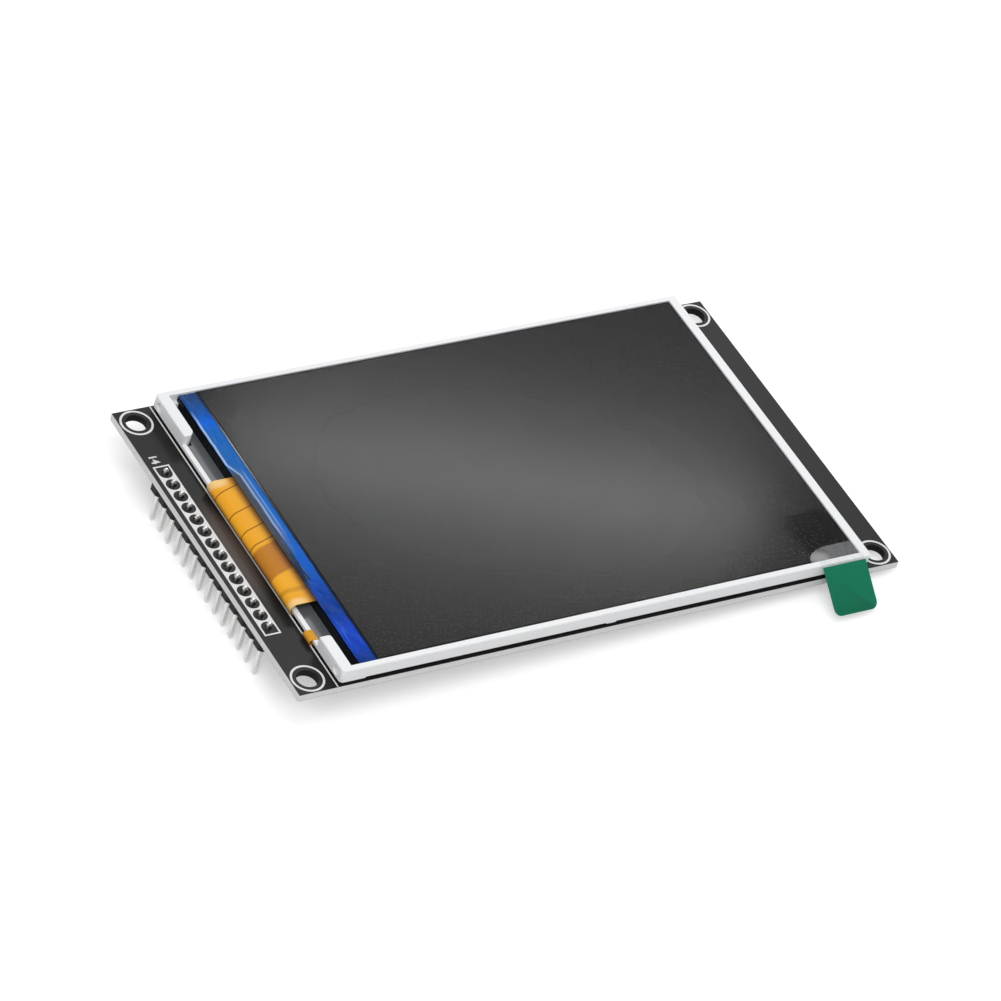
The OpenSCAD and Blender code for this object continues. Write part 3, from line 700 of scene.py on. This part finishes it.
def pick(piece):
    """Selects one piece and makes it active, in object mode."""
    deselect()
    piece.select_set(True)
    bpy.context.view_layer.objects.active = piece


def edit(piece):
    """Opens one piece in edit mode, with all of it selected."""
    pick(piece)
    bpy.ops.object.mode_set(mode="EDIT")
    bpy.ops.mesh.select_all(action="SELECT")


def place_in_mesh(piece):
    """Works a piece's place, turn and scale into its mesh."""
    pick(piece)
    bpy.ops.object.transform_apply(location=True, rotation=True, scale=True)


def modifier(piece, kind, **settings):
    """Adds a modifier, sets it and applies it."""
    pick(piece)
    bpy.ops.object.modifier_add(type=kind)
    made = piece.modifiers[-1]
    for name, value in settings.items():
        setattr(made, name, value)
    bpy.ops.object.modifier_apply(modifier=made.name)


def wall(piece, thickness):
    """Gives a sheet a thickness in millimetres, on the side that its faces point to."""
    modifier(piece, "SOLIDIFY", thickness=thickness * MM, offset=1)


def cut_away(piece, cutter):
    """Takes the cutter's shape out of a piece, then removes the cutter."""
    modifier(piece, "BOOLEAN", object=cutter, operation="DIFFERENCE", solver="EXACT")
    bpy.data.objects.remove(cutter)


def one_for_each_pin(piece):
    """Repeats a piece along Y, once for each of the header's pins."""
    modifier(
        piece,
        "ARRAY",
        count=PIN_COUNT,
        use_relative_offset=False,
        use_constant_offset=True,
        constant_offset_displace=(0, PIN_PITCH * MM, 0),
    )


def join(parts):
    """Makes several pieces one."""
    deselect()
    for part in parts:
        part.select_set(True)
    bpy.context.view_layer.objects.active = parts[0]
    bpy.ops.object.join()
    return parts[0]


def settle(piece, name, slot, body="module", nodes=(), smooth=None):
    """Gives a finished piece its name, finish and body, and the solids it replaces."""
    place_in_mesh(piece)
    if smooth:
        bpy.ops.object.shade_smooth_by_angle(angle=math.radians(smooth))
    piece.name = piece.data.name = name
    piece.data.materials.clear()
    piece.data.materials.append(Finish.made[slot])
    if nodes:
        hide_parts(*nodes)
    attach(piece, body)


def merged_copy(node, name):
    """A copy of a solid with its loose triangles joined, left open in edit mode."""
    piece = bpy.data.objects.new(name, frame["nodes"][node].data.copy())
    bpy.context.scene.collection.objects.link(piece)
    edit(piece)
    bpy.ops.mesh.remove_doubles(threshold=0.0005 * MM)
    return piece


def refined_copy(node, name, slot, edge=0.0, smooth=35, body="module"):
    """A copy of a solid with smooth curves, and with its sharp edges rounded."""
    level, sharp = math.radians(1), math.radians(40)
    piece = merged_copy(node, name)
    bpy.ops.mesh.dissolve_limited(angle_limit=level)
    bpy.ops.object.mode_set(mode="OBJECT")
    if edge:
        modifier(
            piece,
            "BEVEL",
            width=edge * MM,
            segments=2,
            limit_method="ANGLE",
            angle_limit=sharp,
            miter_outer="MITER_ARC",
        )
    bpy.ops.object.shade_smooth_by_angle(angle=math.radians(smooth))
    if edge:
        modifier(piece, "WEIGHTED_NORMAL", keep_sharp=True)
    settle(piece, name, slot, body, (node,))


def feet(node):
    """The places, in millimetres, where each part of a solid meets the board's back."""
    merged_copy(node, "feet")
    bpy.ops.mesh.separate(type="LOOSE")
    bpy.ops.object.mode_set(mode="OBJECT")
    reach = -0.05
    places = []
    for part in list(bpy.context.selected_objects):
        standing = [v.co / MM for v in part.data.vertices if v.co.z > reach * MM]
        if standing:
            xs, ys = [v.x for v in standing], [v.y for v in standing]
            places.append((min(xs), min(ys), max(xs), max(ys)))
        bpy.data.objects.remove(part)
    return places


def plate(x0, y0, x1, y1, z0, z1):
    """A flat strip between two corners and two heights, in millimetres."""
    bpy.ops.mesh.primitive_plane_add(
        size=1, location=((x0 + x1) / 2 * MM, (y0 + y1) / 2 * MM, z0 * MM)
    )
    strip = bpy.context.object
    strip.scale = ((x1 - x0) * MM, (y1 - y0) * MM, 1)
    place_in_mesh(strip)
    wall(strip, z1 - z0)
    return strip


def face_up(piece):
    """Turns a flat piece's faces to +Z, so that its wall grows upwards."""
    edit(piece)
    bpy.ops.mesh.normals_make_consistent(inside=False)
    bpy.ops.object.mode_set(mode="OBJECT")
    if piece.data.polygons[0].normal.z < 0:
        edit(piece)
        bpy.ops.mesh.flip_normals()
        bpy.ops.object.mode_set(mode="OBJECT")


# --- Operators -------------------------------------------------------------------


class DISPLAY_OT_finishes(bpy.types.Operator):
    """Makes all the finishes and gives each solid its own"""

    bl_idname = "display_module.finishes"
    bl_label = "Finishes"

    def execute(self, context):
        settings = context.scene.display_finishes
        finish_board(settings)
        finish_frame(settings)
        finish_screen(settings)
        finish_cover()
        finish_tape(settings)
        finish_flex(settings)
        finish_tab(settings)
        finish_reflector()
        finish_solder()
        finish_pins()
        small_finishes()
        finish_print(context.scene.display_print)
        slots = {
            row["node"]: row["material_slot"] for row in frame["record"]["subparts"]
        }
        for node, solid in frame["nodes"].items():
            material = Finish.made[slots[node]]
            if not solid.material_slots:
                solid.data.materials.append(material)
            for held in solid.material_slots:
                held.material = material
        return {"FINISHED"}


class DISPLAY_OT_print(bpy.types.Operator):
    """Prints the rings, the line, the header's box and number, and the outlines"""

    bl_idname = "display_module.print"
    bl_label = "Print"

    def execute(self, context):
        settings = context.scene.display_print
        top = low_high("pcb")[1].z
        ink = settings.thickness / MM
        self.rings(settings, top, ink)
        self.screen_line(settings, top, ink)
        self.header_pattern(settings, top, ink)
        self.pin_number(settings, top, ink)
        self.outlines(settings, ink)
        return {"FINISHED"}

    def rings(self, settings, top, ink):
        """A ring round each mounting hole."""
        mounts = {row["name"]: row for row in frame["record"]["mounts"]}
        holes = mounts["board_holes"]["dims"]
        half_x, half_y = holes["spacing_x_mm"] / 2, holes["spacing_y_mm"] / 2
        inner_share = 1 - settings.ring_line / settings.ring_radius
        parts = []
        for x in (-half_x, half_x):
            for y in (-half_y, half_y):
                bpy.ops.mesh.primitive_circle_add(
                    vertices=72,
                    radius=settings.ring_radius,
                    location=(x * MM, y * MM, top * MM),
                )
                ring = bpy.context.object
                edit(ring)
                bpy.ops.mesh.extrude_edges_move()
                bpy.ops.transform.resize(value=(inner_share, inner_share, 1))
                face_up(ring)
                wall(ring, ink)
                parts.append(ring)
        settle(join(parts), "print_rings", "print_ink")

    def screen_line(self, settings, top, ink):
        """A line beside the display's frame, just short of the board's edges."""
        low, high = low_high("pcb")
        gap, short = 0.24, 0.1
        x = low_high("backlight_frame")[0].x - gap
        half = settings.line / MM / 2
        line = plate(x - half, low.y + short, x + half, high.y - short, top, top + ink)
        settle(line, "print_line", "print_ink")

    def header_pattern(self, settings, top, ink):
        """A printed box round the header, open round each pin's pad."""
        low, high = low_high("header_pins")
        middle = (low + high) / 2
        half_w = settings.box_width / MM / 2
        line = settings.box_line / MM
        reach = PIN_COUNT * PIN_PITCH / 2 + line
        box = plate(
            middle.x - half_w,
            middle.y - reach,
            middle.x + half_w,
            middle.y + reach,
            top,
            top + ink,
        )
        through = 0.2
        bpy.ops.mesh.primitive_cylinder_add(
            vertices=48,
            radius=settings.pad_opening / 2,
            depth=2 * through * MM,
            location=(middle.x * MM, (middle.y - HALF_ROW) * MM, top * MM),
        )
        pads = bpy.context.object
        place_in_mesh(pads)
        one_for_each_pin(pads)
        inner = half_w - line
        for end in (-1, 1):
            last_pin = middle.y + end * HALF_ROW
            inside = middle.y + end * (reach - line)
            block = plate(
                middle.x - inner,
                min(last_pin, inside),
                middle.x + inner,
                max(last_pin, inside),
                top - through,
                top + through,
            )
            cut_away(box, block)
        cut_away(box, pads)
        settle(box, "print_header", "print_ink")

    def pin_number(self, settings, top, ink):
        """The last pin's number, past the header's far end."""
        low, high = low_high("header_pins")
        aside, past = 0.45, 2.7
        bpy.ops.object.text_add(
            location=(
                ((low.x + high.x) / 2 - aside) * MM,
                (high.y + past) * MM,
                top * MM,
            ),
            rotation=(0, 0, -math.pi / 2),
        )
        text = bpy.context.object
        text.data.body = str(PIN_COUNT)
        text.data.size = settings.numeral * 1.25
        text.data.align_x = text.data.align_y = "CENTER"
        text.data.offset = 0.06 * MM
        bpy.ops.object.convert(target="MESH")
        number = bpy.context.object
        wall(number, ink)
        settle(number, "print_numerals", "print_ink")

    def outlines(self, settings, ink):
        """An outline round each group of parts on the board's back."""
        line = settings.line / MM
        board_low, board_high = low_high("pcb")
        margin = 0.15
        parts = []
        for nodes, gap in (
            (("socket_housing", "socket_contacts"), 0.35),
            (("card_base", "card_shell"), 0.4),
            (("capacitors",), 0.55),
            (("resistors",), 0.55),
            (("header_body",), 0.3),
        ):
            lows, highs = zip(*(low_high(node) for node in nodes))
            x0, y0 = (
                max(min(low[axis] for low in lows) - gap, board_low[axis] + margin)
                for axis in range(2)
            )
            x1, y1 = (
                min(max(high[axis] for high in highs) + gap, board_high[axis] - margin)
                for axis in range(2)
            )
            for side in (
                (x0, y0, x1, y0 + line),
                (x0, y1 - line, x1, y1),
                (x0, y0 + line, x0 + line, y1 - line),
                (x1 - line, y0 + line, x1, y1 - line),
            ):
                parts.append(plate(*side, -ink, 0))
        settle(join(parts), "print_outlines", "print_ink")


class DISPLAY_OT_pads(bpy.types.Operator):
    """Lays a solder pad under each foot of the parts on the board's back"""

    bl_idname = "display_module.pads"
    bl_label = "Pads"

    def execute(self, context):
        margin, thickness = 0.12, 0.03
        pads = [
            plate(x0 - margin, y0 - margin, x1 + margin, y1 + margin, -thickness, 0)
            for node in ("chip_ends", "chip_leads", "socket_contacts", "card_contacts")
            for x0, y0, x1, y1 in feet(node)
        ]
        settle(join(pads), "board_pads", "tin")
        return {"FINISHED"}


class DISPLAY_OT_header(bpy.types.Operator):
    """Rounds the header's edges and builds the soldered joints"""

    bl_idname = "display_module.header"
    bl_label = "Header"

    def execute(self, context):
        refined_copy("header_body", "header_strip", "header_plastic", 0.06)
        refined_copy("header_pins", "header_pin_row", "gold_plate", 0.04)
        self.joints()
        return {"FINISHED"}

    def joints(self):
        """A hollow-sided cone of solder round each pin, raised ring by ring."""
        low, high = low_high("solder_joints")
        radius, height = (high.x - low.x) / 2, high.z - low.z
        bpy.ops.mesh.primitive_circle_add(
            vertices=28, radius=radius * MM, location=(0, 0, 0)
        )
        joint = bpy.context.object
        edit(joint)
        rows = 7
        top_radius = 0.4
        pull_in, lift = 1.9, 1.25
        last_r, last_z = radius, 0.0
        for row in range(1, rows + 1):
            share = row / rows
            r = top_radius + (radius - top_radius) * (1 - share) ** pull_in
            z = height * share**lift
            bpy.ops.mesh.extrude_edges_move(
                TRANSFORM_OT_translate={"value": (0, 0, (z - last_z) * MM)}
            )
            bpy.ops.transform.resize(value=(r / last_r, r / last_r, 1))
            last_r, last_z = r, z
        bpy.ops.mesh.edge_face_add()
        bpy.ops.mesh.select_all(action="DESELECT")
        bpy.ops.mesh.select_non_manifold()
        bpy.ops.mesh.edge_face_add()
        bpy.ops.mesh.select_all(action="SELECT")
        bpy.ops.mesh.normals_make_consistent(inside=False)
        bpy.ops.object.mode_set(mode="OBJECT")
        first = ((low.x + high.x) / 2, (low.y + high.y) / 2 - HALF_ROW, low.z)
        joint.location = [c * MM for c in first]
        place_in_mesh(joint)
        one_for_each_pin(joint)
        settle(joint, "solder_fillets", "solder", nodes=("solder_joints",), smooth=40)


class DISPLAY_OT_frame(bpy.types.Operator):
    """Rounds the moulded frame's edges"""

    bl_idname = "display_module.frame"
    bl_label = "Frame"

    def execute(self, context):
        refined_copy("backlight_frame", "frame_moulding", "frame_plastic", 0.03)
        return {"FINISHED"}


class DISPLAY_OT_films(bpy.types.Operator):
    """Smooths the flex and the pull tab, and builds the creased ledge tape"""

    bl_idname = "display_module.films"
    bl_label = "Films and flexes"

    def execute(self, context):
        refined_copy("display_flex", "flex_fold", "polyimide", smooth=50)
        refined_copy("pull_tab", "tab_tongue", "tab_film", smooth=50)
        self.tape()
        return {"FINISHED"}

    def tape(self):
        """A fine grid that is creased, then given the thickness of tape."""
        low, high = low_high("ledge_film")
        clear, thickness = 0.02, 0.04
        bpy.ops.mesh.primitive_grid_add(
            x_subdivisions=14,
            y_subdivisions=240,
            size=1,
            location=(
                (low.x + high.x) / 2 * MM,
                (low.y + high.y) / 2 * MM,
                (low.z + clear) * MM,
            ),
        )
        tape = bpy.context.object
        tape.scale = ((high.x - low.x) * MM, (high.y - low.y) * MM, 1)
        place_in_mesh(tape)
        creases = bpy.data.textures.new("tape_creases", "CLOUDS")
        creases.noise_scale = 1.6 * MM
        creases.noise_depth = 3
        modifier(
            tape,
            "DISPLACE",
            texture=creases,
            texture_coords="LOCAL",
            direction="Z",
            strength=0.16 * MM,
            mid_level=0.35,
        )
        wall(tape, thickness)
        settle(tape, "ledge_tape", "blue_film", nodes=("ledge_film",), smooth=60)


class DISPLAY_OT_back(bpy.types.Operator):
    """Rounds the edges of the sockets and small parts on the board's back"""

    bl_idname = "display_module.back"
    bl_label = "Back parts"

    def execute(self, context):
        for node, name, slot, edge in (
            ("socket_housing", "flat_cable_housing", "socket_plastic", 0.05),
            ("card_shell", "card_cover", "shell_steel", 0.04),
            ("card_base", "card_tray", "header_plastic", 0.04),
            ("regulator", "regulator_body", "chip_plastic", 0.05),
            ("transistor", "transistor_body", "chip_plastic", 0.04),
            ("chip_leads", "chip_legs", "tin", 0.03),
            ("capacitors", "capacitor_bodies", "ceramic", 0.04),
            ("resistors", "resistor_bodies", "chip_plastic", 0.03),
        ):
            refined_copy(node, name, slot, edge)
        refined_copy(
            "socket_latch", "latch_slider", "latch_plastic", 0.05, body="latch"
        )
        return {"FINISHED"}


class DISPLAY_OT_stage(bpy.types.Operator):
    """Sets up the floor, the lamps, the pale surroundings and the camera"""

    bl_idname = "display_module.stage"
    bl_label = "Stage"

    def execute(self, context):
        scene = context.scene
        settings = scene.display_stage
        scene.view_settings.view_transform = "Standard"
        self.floor()
        self.surroundings(scene, settings)
        self.lamp(
            "key",
            place=(-0.32, -0.36, 0.76),
            target=(0, 0, 0),
            size=(0.5, 0.5),
            power=settings.key,
        )
        self.lamp(
            "sheen",
            place=(0.151, 0.169, 0.2),
            target=(0, 0, low_high("front_polarizer")[1].z * MM),
            size=(0.11, 0.01),
            power=settings.sheen,
            roll=0.17,
        )
        self.camera(scene, settings)
        return {"FINISHED"}

    def floor(self):
        """A pale floor, tilted so that the module stands on its pins and its socket."""
        pins_low = low_high("header_pins")[0]
        socket_low, socket_high = low_high("socket_housing")
        gap = 0.02
        pin_x = pins_low.x + PIN_WIDTH / 2
        slope = (socket_low.z - pins_low.z) / (socket_high.x - pin_x)
        height = pins_low.z - slope * pin_x - gap
        bpy.ops.mesh.primitive_plane_add(size=6, location=(0, 0, 0))
        floor = bpy.context.object
        floor.name = "floor"
        floor.data.transform(
            Matrix.Translation((0, 0, height * MM))
            @ Matrix.Rotation(-math.atan(slope), 4, "Y")
        )
        self.floor_finish(floor)

    def floor_finish(self, floor):
        """Matt paper that glows where it is seen, and is clear from below."""
        f = Finish("floor_paper")
        paper = f.node(
            "ShaderNodeBsdfDiffuse",
            inputs={"Color": (0.8, 0.8, 0.8, 1), "Roughness": 1.0},
        )
        glow = f.node("ShaderNodeEmission", inputs={"Strength": 0.42})
        lit = f.node("ShaderNodeAddShader", inputs={0: paper, 1: glow})
        upper = f.node("ShaderNodeMixShader", inputs={0: f.seen(), 1: paper, 2: lit})
        below = f.node("ShaderNodeNewGeometry", out="Backfacing")
        clear = f.node("ShaderNodeBsdfTransparent")
        both = f.node("ShaderNodeMixShader", inputs={0: below, 1: upper, 2: clear})
        f.node("ShaderNodeOutputMaterial", inputs={"Surface": both}, out=None)
        floor.data.materials.append(f.material)

    def surroundings(self, scene, settings):
        """White where it is seen, and a dimmer level where it lights the object."""
        world = bpy.data.worlds.new("studio")
        scene.world = world
        world.use_nodes = True
        f = Shading(world.node_tree)
        level = f.seen() * (1 - settings.ambient) + settings.ambient
        back = f.node(
            "ShaderNodeBackground", inputs={"Color": (1, 1, 1, 1), "Strength": level}
        )
        f.node("ShaderNodeOutputWorld", inputs={"Surface": back}, out=None)

    def lamp(self, name, place, target, size, power, roll=0.0):
        """A rectangular lamp that faces its target, level before it is rolled."""
        bpy.ops.object.light_add(type="AREA", location=place)
        lamp = bpy.context.object
        lamp.name = name + "_lamp"
        lamp.data.shape = "RECTANGLE"
        lamp.data.size, lamp.data.size_y = size
        lamp.data.energy = power
        back = (Vector(place) - Vector(target)).normalized()
        side = Vector((0, 0, 1)).cross(back).normalized()
        turn = Matrix((side, back.cross(side), back)).transposed().to_4x4()
        turn = turn @ Matrix.Rotation(roll, 4, "Z")
        lamp.matrix_world = Matrix.Translation(place) @ turn
        lamp.visible_camera = False

    def camera(self, scene, settings):
        """Looks at the board from above its near left corner, almost 0.9 m away."""
        bpy.ops.object.camera_add()
        camera = bpy.context.object
        right = Vector((0.8386, -0.48271, 0.25246))
        up = Vector((0.17441, 0.67696, 0.71505))
        back = Vector((-0.51607, -0.55562, 0.65189))
        place = (-0.452582, -0.486162, 0.569328)
        turn = Matrix((right, up, back)).transposed().to_4x4()
        camera.matrix_world = Matrix.Translation(place) @ turn
        camera.data.lens = settings.lens
        camera.data.sensor_width = 36
        camera.data.clip_start = 0.05
        camera.data.clip_end = 20
        scene.camera = camera


class DISPLAY_PT_module(bpy.types.Panel):
    """Lists the steps that dress the display module"""

    bl_idname = "DISPLAY_PT_module"
    bl_label = "Display module"
    bl_space_type = "VIEW_3D"
    bl_region_type = "UI"
    bl_category = "Display module"

    def draw(self, context):
        for operator in OPERATORS:
            self.layout.operator(operator.bl_idname)


SETTINGS = {
    "display_print": PrintSettings,
    "display_finishes": FinishSettings,
    "display_stage": StageSettings,
}
OPERATORS = (
    DISPLAY_OT_finishes,
    DISPLAY_OT_print,
    DISPLAY_OT_pads,
    DISPLAY_OT_header,
    DISPLAY_OT_frame,
    DISPLAY_OT_films,
    DISPLAY_OT_back,
    DISPLAY_OT_stage,
)


def register():
    for name, group in SETTINGS.items():
        bpy.utils.register_class(group)
        setattr(bpy.types.Scene, name, bpy.props.PointerProperty(type=group))
    for part in (*OPERATORS, DISPLAY_PT_module):
        bpy.utils.register_class(part)


def unregister():
    for part in (DISPLAY_PT_module, *reversed(OPERATORS)):
        bpy.utils.unregister_class(part)
    for name, group in SETTINGS.items():
        delattr(bpy.types.Scene, name)
        bpy.utils.unregister_class(group)


def main():
    register()
    for operator in OPERATORS:
        group, name = operator.bl_idname.split(".")
        getattr(getattr(bpy.ops, group), name)()


if __name__ == "__main__":
    main()
